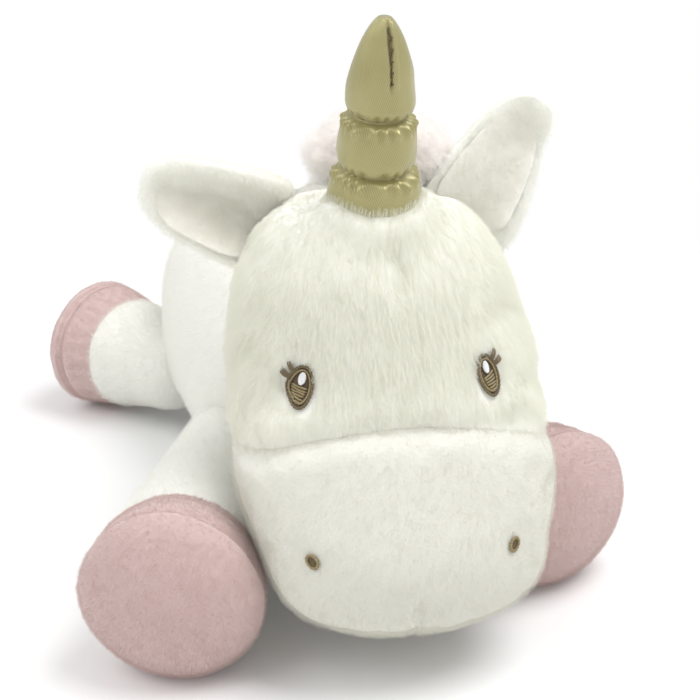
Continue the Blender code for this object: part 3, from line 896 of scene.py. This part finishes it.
def count_ribs(horn, here):
    """Numbers the twill ribs, which climb slowly round the horn, at each corner of its faces."""
    angle = np.arctan2(here[:, 0], -here[:, 1])
    spots = np.empty(len(horn.data.loops), np.int32)
    horn.data.loops.foreach_get("vertex_index", spots)
    turned = angle[spots]
    for polygon in horn.data.polygons:
        corner = slice(polygon.loop_start, polygon.loop_start + polygon.loop_total)
        if np.ptp(turned[corner]) > pi:
            turned[corner] = np.where(turned[corner] < 0.0, turned[corner] + 2.0 * pi, turned[corner])
    radius = 13.0
    sheet = turned * radius * sin(TWILL_SLANT) + here[spots, 2] * cos(TWILL_SLANT)
    layer = horn.data.attributes.new("ribs", "FLOAT", "CORNER")
    layer.data.foreach_set("value", (sheet * 2.0 * pi / TWILL).astype(np.float32))


def make_horn_threads(place, lower, upper, tip):
    for name, z in (("lower", lower), ("upper", upper)):
        angle = np.linspace(0.0, 2.0 * pi, 60)
        radius = horn_radius(z, lower, upper, tip) - 1.1
        out = np.column_stack([np.cos(angle), np.sin(angle), np.zeros(60)])
        line = out * radius + np.array([0.0, 0.0, z])
        turned = out @ np.array(place.to_3x3()).T
        ring = strands("horn_gather_" + name, [(moved(line, place), turned)], 0.45)
        dress(ring, "gold_thread", "thread_gold", "horn", "horn_thread_" + name)
    def on_slit(z, across, lift):
        radius = horn_radius(z, lower, upper, tip) + lift
        angle = SLIT_ANGLE + across / radius
        return radius * cos(angle), radius * sin(angle), z

    lines = [[on_slit(z, 0.25 * sin(z * 1.7), -0.35) for z in np.linspace(tip - 18.0, tip - 1.6, 40)]]
    for index, z in enumerate(np.arange(tip - 17.0, tip - 2.0, 3.1)):
        slope = 0.5 + 0.3 * sin(index * 2.3)
        lines.append([on_slit(z + part * slope, part * 0.75 + 0.2, 0.1) for part in np.linspace(-1.0, 1.0, 6)])
    turn = np.array(place.to_3x3()).T
    lines = [(moved(flat, place), (np.array(flat) * np.array([1.0, 1.0, 0.0])) @ turn) for flat in lines]
    dress(strands("horn_slit_stitches", lines, 0.2), "dark_thread", "thread_brown", "horn")


# Ears: how far the sides curl forward, the lining's reach across and along, the tip's forward roll,
# the length against the CAD ear's, and how much wider the root is than the tip
EARS = {
    "left": {"curl": 0.8, "lining": (-0.88, 0.90, 0.76), "tip_roll": 0.9, "long": 1.22, "taper": 0.50},
    "right": {"curl": 1.15, "lining": (-1.03, 0.30, 0.86), "tip_roll": 0.3, "long": 0.95, "taper": 0.20},
}
EAR_THIN_EDGE = 0.45
EAR_ROWS = (
    (-0.26, 0.0, 0.0, 0.0),
    (-0.20, 0.0, 0.0, 0.80),
    (0.0, 0.0, 0.0, 1.08),
    (0.22, 0.0, 0.0, 1.10),
    (0.45, 0.0, 0.0, 1.00),
    (0.68, 0.0, 0.0, 0.84),
    (0.86, 0.0, 0.0, 0.66),
    (0.97, 0.0, 0.0, 0.40),
    (1.00, 0.0, 0.0, 0.0),
)


def ear_point(across, along, thick, shape, half, length):
    """Bends a flat ear: its sides curl forward round its length, and its tip rolls forward."""
    radius = half / shape["curl"]
    bend = across / radius
    x = radius * np.sin(bend) + thick * np.sin(bend)
    y = -radius * (1.0 - np.cos(bend)) + thick * np.cos(bend)
    roll = shape["tip_roll"] * np.maximum(along / length - 0.55, 0.0) * 2.2
    z = along - roll * 0.25 * length * np.maximum(along / length - 0.55, 0.0)
    y = y - roll * roll * 0.16 * length
    return np.stack([x, y, z], axis=-1)


def make_ear(side):
    shape = EARS[side]
    place, axis = joint("ear_" + side + "_flap")
    nodes = ("ear_outer_" + side, "ear_lining_" + side)
    local = axes(place, axis, middle(*nodes) - place)
    low, high = corners(local, *nodes)
    half, length, depth = high[0], high[2] * shape["long"], (high[1] - low[1]) / 2
    rows = through(EAR_ROWS, 56)
    rows[:, 3] *= 1.0 + shape["taper"] * (0.35 - rows[:, 0])
    rings = []
    for along, _, _, width in rows:
        flat = oval(72, half * width, depth * (0.4 + 0.75 * abs(width)) * min(1.0, abs(width) * 2.5), 2.3)
        flat[:, 1] *= 1.0 - EAR_THIN_EDGE * ramp(-flat[:, 0] / half, 0.0, 1.0)
        rings.append(ear_point(flat[:, 0], np.full(72, along * length), flat[:, 1], shape, half, length))
    rings[0][:] = rings[0].mean(0)
    rings[-1][:] = rings[-1].mean(0)
    outer = loft("ear_" + side + "_skin", rings, local)
    points = read_points(outer)
    push(outer, lumps(points, 9.0) * 0.7 + lumps(points, 4.0, 2.0) * 0.3)
    dress(outer, "short_white", "plush_short_white", "ear_" + side, "ear_outer_" + side)
    # The ear's hair colour is lifted by painted light.
    grow_fur(outer, "ear_hair", 1.4, 50000, (0.0, 0.0, -0.4), 0.07)
    lining = make_ear_lining(side, shape, local, half, length, depth, rows)
    dress(lining, "lining", "ear_lining", "ear_" + side, "ear_lining_" + side)
    grow_fur(lining, "lining_hair", 1.3, 26000, (0.0, 0.0, -0.2), 0.07)


def make_ear_lining(side, shape, local, half, length, depth, rows):
    """A thin cushion on the ear's front face, inside its rolled rim."""
    first, last, reach = shape["lining"]
    rings = []
    for share in np.linspace(0.0, 1.0, 40):
        along = -0.08 + (reach + 0.08) * share
        width = np.interp(along, rows[:, 0], rows[:, 3]) * half
        shrink = max(1.0 - abs(2.0 * share - 1.0) ** 5.0, 0.0) ** 0.5
        centre = width * (first + last) / 2
        flat = oval(56, width * (last - first) / 2 * shrink, 1.5 * shrink, 2.4)
        front = -depth * (0.4 + 0.75 * width / half) * 0.80
        front = front * (1.0 - EAR_THIN_EDGE * ramp(-(flat[:, 0] + centre) / half, 0.0, 1.0))
        rings.append(ear_point(flat[:, 0] + centre, np.full(56, along * length), flat[:, 1] + front,
                               shape, half, length))
    rings[0][:] = rings[0].mean(0)
    rings[-1][:] = rings[-1].mean(0)
    lining = loft("ear_" + side + "_lining_skin", rings, local)
    push(lining, lumps(read_points(lining), 7.0, 8.0) * 0.4)
    return lining


# Mane and tail


# Mane, from the horn over the crown and down the back of the head: the place of its middle in the
# depth and the height of the CAD mane's box, and its half width and half thickness against that box
MANE_ROWS = (
    (0.05, 0.60, 0.70, 0.07),
    (0.16, 0.69, 1.13, 0.18),
    (0.33, 0.72, 1.08, 0.22),
    (0.53, 0.69, 0.89, 0.22),
    (0.70, 0.56, 0.76, 0.20),
    (0.81, 0.38, 0.67, 0.17),
    (0.85, 0.19, 0.53, 0.12),
    (0.83, 0.04, 0.36, 0.07),
)
MANE_SHIFT = -1.5
MANE_CROWN_POWER = 1.35


def make_mane():
    """A fluffy mound over the crown that runs down the back of the head."""
    low, high = corners(HEAD, "mane")
    size = high - low
    count = 46
    at = np.linspace(0.0, len(MANE_ROWS) - 1, count)
    columns = [np.interp(at, np.arange(len(MANE_ROWS)), column) for column in np.array(MANE_ROWS).T]
    depth, height, wide, thick = [np.convolve(np.pad(c, 3, "edge"), np.ones(7) / 7, "valid") for c in columns]
    y, z = low[1] + size[1] * depth, low[2] + size[2] * height
    close = (1.0 - np.abs(np.linspace(-1.0, 1.0, count)) ** 8) ** 0.5
    run = np.stack([np.gradient(y), np.gradient(z)], axis=1)
    run /= np.linalg.norm(run, axis=1)[:, None]
    rings = []
    for step in range(count):
        power = MANE_CROWN_POWER + (2.0 - MANE_CROWN_POWER) * ramp(step / count, 0.3, 0.8)
        flat = oval(64, size[0] / 2 * wide[step] * close[step], size[2] * thick[step] * close[step], power)
        x = (low[0] + high[0]) / 2 + MANE_SHIFT + flat[:, 0]
        rings.append(np.column_stack([x, y[step] - run[step, 1] * flat[:, 1], z[step] + run[step, 0] * flat[:, 1]]))
    mane = loft("mane_fluff", rings, HEAD)
    points = read_points(mane)
    push(mane, lumps(points, 11.0) * 1.6 + locks(points, HEAD, 6.5) * 1.1 - 0.4)
    dress(mane, "mane", "mane_pink", "head", "mane")
    grow_fur(mane, "mane_hair", 3.6, 100000, (0.0, 0.1, -0.5), 0.08, clump=0.25, tangle=1.2)


def make_tail():
    place, axis = joint("tail_swing")
    run = middle("tail") - place
    side = run.cross(UP).normalized()
    local = axes(place, side, run)
    low, high = corners(local, "tail")
    rows = (
        (-0.12, 0.0, 0.0, 0.0),
        (-0.06, 0.0, 0.0, 0.36),
        (0.12, 0.0, 0.0, 0.52),
        (0.30, 0.0, 0.0, 0.76),
        (0.52, 0.0, 0.0, 0.90),
        (0.75, 0.0, 0.0, 0.84),
        (0.93, 0.0, 0.0, 0.48),
        (1.00, 0.0, 0.0, 0.0),
    )
    rings = []
    for along, _, _, width in through(rows, 46):
        flat = oval(56, high[0] * width, high[0] * width)
        rings.append(np.column_stack([flat, np.full(56, along * high[2])]))
    tail = loft("tail_fluff", rings, local)
    points = read_points(tail)
    push(tail, lumps(points, 9.0) * 1.8 + locks(points, local, 6.0) * 1.3)
    dress(tail, "mane", "mane_pink", "tail", "tail")
    grow_fur(tail, "mane_hair", 6.0, 50000, (0.0, 0.3, -0.5), 0.09, clump=0.4, tangle=1.5)


# Torso and neck


def make_torso():
    nodes = ("torso_cover_left", "torso_cover_right", "belly_panel")
    low, high = corners(Matrix(), *nodes)
    half_x, half_y, half_z = high[0], (high[1] - low[1]) / 2, (high[2] - low[2]) / 2
    swell = 1.8
    rings = []
    for along in np.sin(np.linspace(-pi / 2, pi / 2, 60)):
        size = max(1.0 - abs(along) ** TORSO_PLAN_POWER, 0.0) ** (1.0 / TORSO_PLAN_POWER)
        flat = oval(112, half_x * FACET * size, (half_z + 2.0) * size, TORSO_RING_POWER)
        centre = half_z - 2.0 - TORSO_END_SAG * abs(along) ** 3
        level = np.maximum(centre + flat[:, 1], 0.0)
        y = (low[1] + high[1]) / 2 + half_y * along * 1.02
        rings.append(np.column_stack([flat[:, 0], np.full(len(flat), y), level]))
    body = loft("torso_body", rings)

    def seams(points):
        belly = np.abs(points[:, 2] - BELLY_SEAM_HEIGHT)
        spine = np.abs(points[:, 0]) + 100.0 * (points[:, 2] < BELLY_SEAM_HEIGHT)
        return np.minimum(belly, spine)

    push(body, -swell - 0.6)
    inflate(body, swell, seams)
    subdivide(body)
    points = read_points(body)
    push(body, lumps(points, 30.0) * 0.9 + lumps(points, 10.0, 5.0) * 0.4 - seam_dip(seams(points), 0.6, 1.6))
    points = read_points(body)
    points[:, 2] = np.maximum(points[:, 2], 0.3)
    write_points(body, points)
    up, down = (0.0, 0.0, 1.0), (0.0, 0.0, -1.0)
    cuts = {
        "torso_left_skin": [((0.02, 0, 0), (1.0, 0, 0)), ((0, 0, BELLY_SEAM_HEIGHT + 0.02), up)],
        "torso_right_skin": [((-0.02, 0, 0), (-1.0, 0, 0)), ((0, 0, BELLY_SEAM_HEIGHT + 0.02), up)],
        "belly_skin": [((0, 0, BELLY_SEAM_HEIGHT - 0.02), down)],
    }
    stood_for = {
        "torso_left_skin": ("torso_cover_left", "torso_stuffing"),
        "torso_right_skin": ("torso_cover_right",),
        "belly_skin": ("belly_panel", "pellet_bag"),
    }
    for name, planes in cuts.items():
        piece = panel(name, body, planes)
        dress(piece, "short_white", "plush_short_white", "torso", *stood_for[name])
        if name != "belly_skin":
            grow_fur(piece, "white_hair", 2.0, 90000, (0.0, 0.35, -0.5))
        thicken(piece)
    bpy.data.objects.remove(body)


def make_neck():
    """A short stuffed sleeve between the body and the head."""
    start, end = Vector((0.0, -52.0, 62.0)), HEAD @ Vector((0.0, -24.0, 84.0))
    run = end - start
    local = axes(start, Vector((1.0, 0.0, 0.0)), run)
    rows = (
        (0.0, 0.0, 0.0, 0.0),
        (0.03, 0.0, 0.0, 20.0),
        (0.22, 0.0, 0.0, 38.0),
        (0.5, 0.0, 0.0, 38.5),
        (0.78, 0.0, 0.0, 36.0),
        (0.97, 0.0, 0.0, 20.0),
        (1.0, 0.0, 0.0, 0.0),
    )
    rings = []
    for along, _, _, width in through(rows, 40):
        flat = oval(72, width, width * 0.95)
        rings.append(np.column_stack([flat, np.full(72, along * run.length)]))
    neck = loft("neck_skin", rings, local)
    points = read_points(neck)
    push(neck, lumps(points, 14.0) * 0.9)
    dress(neck, "short_white", "plush_short_white", None, "neck_cover", "neck_stuffing")
    grow_fur(neck, "white_hair", 2.0, 36000, (0.0, 0.2, -0.4))
    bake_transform(neck)


# Legs


def leg_frame(name):
    """A frame on the leg's joint, with its Z along the leg."""
    place, _ = joint(name + "_swing")
    run = middle(name + "_hoof_sole") - place
    run.z = 0.0
    return axes(place, UP, run)


def make_leg(name):
    local = leg_frame(name)
    cover_low, cover_high = corners(local, name + "_cover")
    band_low, band_high = corners(local, name + "_hoof_band")
    sole_low, sole_high = corners(local, name + "_hoof_sole")
    root, hoof = -cover_low[2], sole_high[0] * FACET
    band, sole, crown = band_low[2], sole_low[2], sole_high[2]
    rows = (
        (-root, 0.0, 0.0, 0.0),
        (-root * 0.92, 0.0, 0.0, root * 0.42),
        (-root * 0.5, 0.0, 0.0, root * 0.88),
        (2.0, 0.0, 0.0, root * 1.03),
        ((band + 4.0) * 0.5, 0.0, 0.0, (root + hoof * 0.88) * 0.51),
        (band, 0.0, 0.0, hoof * 0.89),
        ((band + sole) / 2, 0.0, 0.0, hoof * 0.955),
        (sole, 0.0, 0.0, hoof * 0.985),
        (sole + (crown - sole) * 0.24, 0.0, 0.0, hoof),
        (sole + (crown - sole) * 0.58, 0.0, 0.0, hoof * 0.86),
        (sole + (crown - sole) * 0.90, 0.0, 0.0, hoof * 0.49),
        (crown + 0.6, 0.0, 0.0, 0.0),
    )
    rings = []
    for along, _, _, width in through(rows, 76):
        share = ramp(along, 0.0, sole)
        flat = oval(88, width * (1.0 + HOOF_SAG * share), width * (1.0 + HOOF_SPREAD * share))
        rings.append(np.column_stack([flat, np.full(88, along)]))
    body = loft(name + "_body", rings, local)

    def seams(points):
        along = moved(points, local.inverted())[:, 2]
        return np.minimum(np.abs(along - band), np.abs(along - sole))

    swell = 0.9
    push(body, -swell * ramp(moved(read_points(body), local.inverted())[:, 2], 0.0, 10.0) - 0.5)
    inflate(body, swell, seams)
    subdivide(body)
    points = read_points(body)
    here = moved(points, local.inverted())
    angle = np.arctan2(here[:, 1], here[:, 0])
    puckers = (0.5 + 0.5 * np.sin(angle * 31.0 + 2.0 * np.sin(angle * 3.0)))
    off_sole = np.abs(here[:, 2] - sole)
    gathered = 0.12 * puckers * np.exp(-((off_sole - 1.8) / 1.8) ** 2)
    dip = seam_dip(off_sole, 0.35, 0.8) + seam_dip(np.abs(here[:, 2] - band), 0.2, 2.0)
    push(body, lumps(points, 22.0, 3.0) * 0.8 + lumps(points, 9.0, 9.0) * 0.2 + gathered - dip)
    points = read_points(body)
    points[:, 2] = np.maximum(points[:, 2], 0.3)
    write_points(body, points)
    outward = local.to_3x3() @ UP
    gap = 0.02

    def cut(along, sign):
        return local @ Vector((0.0, 0.0, along)), outward * sign

    skin = panel(name + "_skin", body, [cut(band - gap, -1.0)])
    hoof_band = panel(name + "_hoof_band_skin", body, [cut(band + gap, 1.0), cut(sole - gap, -1.0)])
    hoof_sole = panel(name + "_hoof_sole_skin", body, [cut(sole + gap, 1.0)])
    bpy.data.objects.remove(body)
    dress(skin, "short_white", "plush_short_white", None, name + "_cover", name + "_stuffing")
    dress(hoof_band, "pink", "plush_pink", name, name + "_hoof_band")
    dress(hoof_sole, "pink", "plush_pink", name, name + "_hoof_sole")
    grow_fur(skin, "white_hair", 1.8, 42000, tuple(outward * 0.5))
    grow_fur(hoof_band, "pink_hair", 0.9, 40000, tuple(outward * 0.3), 0.065, clump=0.0, tangle=0.12)
    grow_fur(hoof_sole, "pink_hair", 0.9, 60000, (0.0, 0.0, -0.3), 0.065, clump=0.0, tangle=0.12)
    for piece in (skin, hoof_band, hoof_sole):
        thicken(piece)
    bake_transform(skin)


# Studio


def make_floor():
    half = 3000.0
    floor = make_object("floor", [(-half, -half, 0), (half, -half, 0), (half, half, 0), (-half, half, 0)],
                        [(0, 1, 2, 3)])
    made, nodes, links = new_material("floor_white")
    shader = nodes["Principled BSDF"]
    tone = add_noise(nodes, links, 400.0)
    tone = mix_colours(nodes, links, tone, (0.93, 0.93, 0.93), (0.95, 0.95, 0.95))
    links.new(tone, shader.inputs["Base Color"])
    shader.inputs["Roughness"].default_value = 0.9
    place = nodes.new("ShaderNodeTexCoord")
    reach = nodes.new("ShaderNodeVectorMath")
    reach.operation = "LENGTH"
    links.new(place.outputs["Object"], reach.inputs[0])
    white = nodes.new("ShaderNodeEmission")
    fade = nodes.new("ShaderNodeMixShader")
    share = sharpen(nodes, links, reach.outputs["Value"], WHITE_FLOOR_FROM * MM, WHITE_FLOOR_TO * MM)
    links.new(share, fade.inputs["Fac"])
    links.new(shader.outputs["BSDF"], fade.inputs[1])
    links.new(white.outputs["Emission"], fade.inputs[2])
    links.new(fade.outputs["Shader"], nodes["Material Output"].inputs["Surface"])
    floor.data.materials.append(made)


def make_light(name, azimuth, elevation, distance, size, power, target):
    lamp = bpy.data.lights.new(name, "AREA")
    lamp.shape = "DISK"
    lamp.size = size * MM
    lamp.energy = power
    made = bpy.data.objects.new(name, lamp)
    bpy.context.scene.collection.objects.link(made)
    a, e = radians(azimuth), radians(elevation)
    back = Vector((sin(a) * cos(e), -cos(a) * cos(e), sin(e)))
    made.location = (target + back * distance) * MM
    made.rotation_euler = (-back).to_track_quat("-Z", "Y").to_euler()


def make_studio():
    make_floor()
    world = bpy.data.worlds.new("studio")
    world.use_nodes = True
    sky = world.node_tree.nodes["Background"]
    sky.inputs["Color"].default_value = (1.0, 1.0, 1.0, 1.0)
    links = world.node_tree.links
    seen = world.node_tree.nodes.new("ShaderNodeLightPath")
    strength = world.node_tree.nodes.new("ShaderNodeMapRange")
    strength.inputs["To Min"].default_value = SKY_LIGHT
    strength.inputs["To Max"].default_value = 1.0
    links.new(seen.outputs["Is Camera Ray"], strength.inputs["Value"])
    links.new(strength.outputs["Result"], sky.inputs["Strength"])
    bpy.context.scene.world = world
    target = HEAD.translation + UP * 70.0
    make_light("key", 60.0, 64.0, 1200.0, 800.0, 9.5, target)
    make_light("fill", -85.0, 48.0, 1300.0, 1000.0, 5.0, target)
    bpy.context.scene.view_settings.view_transform = "Standard"


def make_camera():
    lens = bpy.data.cameras.new("camera")
    lens.lens = CAMERA_LENS
    lens.sensor_width = 36.0
    lens.clip_start = 0.01
    camera = bpy.data.objects.new("camera", lens)
    bpy.context.scene.collection.objects.link(camera)
    a, e = radians(CAMERA_AZIMUTH), radians(CAMERA_ELEVATION)
    back = Vector((sin(a) * cos(e), -cos(a) * cos(e), sin(e)))
    camera.location = (nod_place + CAMERA_LOOK + back * CAMERA_DISTANCE) * MM
    camera.rotation_euler = (-back).to_track_quat("-Z", "Y").to_euler()
    bpy.context.scene.camera = camera


face_piece, muzzle_piece = make_head()
face_skin = FaceSkin(face_piece, muzzle_piece)
for side_name, side in (("left", 1.0), ("right", -1.0)):
    make_eye(face_skin, side_name, side)
    make_nostril(face_skin, side_name, side)
make_horn()
make_ear("left")
make_ear("right")
make_mane()
make_tail()
make_torso()
make_neck()
for leg in ("foreleg_left", "foreleg_right", "hindleg_left", "hindleg_right"):
    make_leg(leg)
make_studio()
make_camera()
